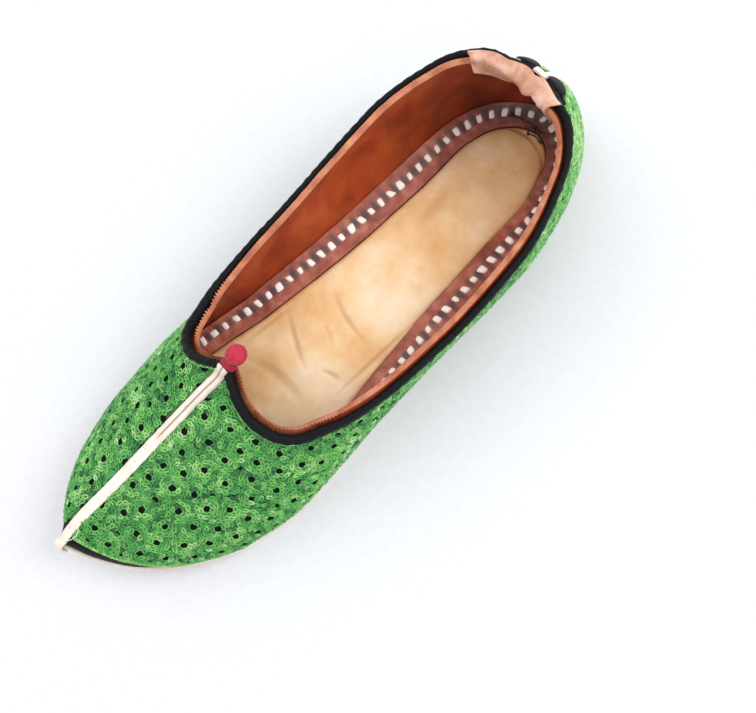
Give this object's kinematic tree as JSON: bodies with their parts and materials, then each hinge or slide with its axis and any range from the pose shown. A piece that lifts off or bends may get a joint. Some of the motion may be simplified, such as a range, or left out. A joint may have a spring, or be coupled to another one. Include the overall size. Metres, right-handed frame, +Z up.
{
  "type": "mojari shoe",
  "caption": "Left-foot embroidered slip-on mojari: pointed, slightly raised toe, low flat leather sole, two-lobed throat with a knot, rolled binding and a folded heel flap.",
  "frame": {"origin": "middle of the shoe's box at the floor, z = 0 under the flat heel and forefoot", "axes": "+Y towards the heel, -Y towards the toe, +X towards the outer (left) side of the foot, +Z up"},
  "size_m": [0.0832, 0.2552, 0.0602],
  "materials": {
    "sole_leather": "cream vegetable-tanned leather, two layers with a groove between",
    "embroidered_cloth": "black cotton covered in green chain-stitch rosettes, brown leather lining",
    "black_cloth": "rolled black cotton binding",
    "band_leather": "reddish brown leather with white cotton stitches",
    "insole_leather": "tan undyed leather, softly creased",
    "trim_leather": "narrow cream leather strip with a seam",
    "red_thread": "wound red cotton thread",
    "flap_leather": "wrinkled pinkish tan leather"
  },
  "bodies": {
    "root": {"outsole": "sole_leather", "upper": "embroidered_cloth", "topline_binding": "black_cloth", "inner_band": "band_leather", "insole": "insole_leather", "toe_strip": "trim_leather", "throat_knot": "red_thread", "heel_flap": "flap_leather", "back_strip": "trim_leather"}
  },
  "joints": []
}
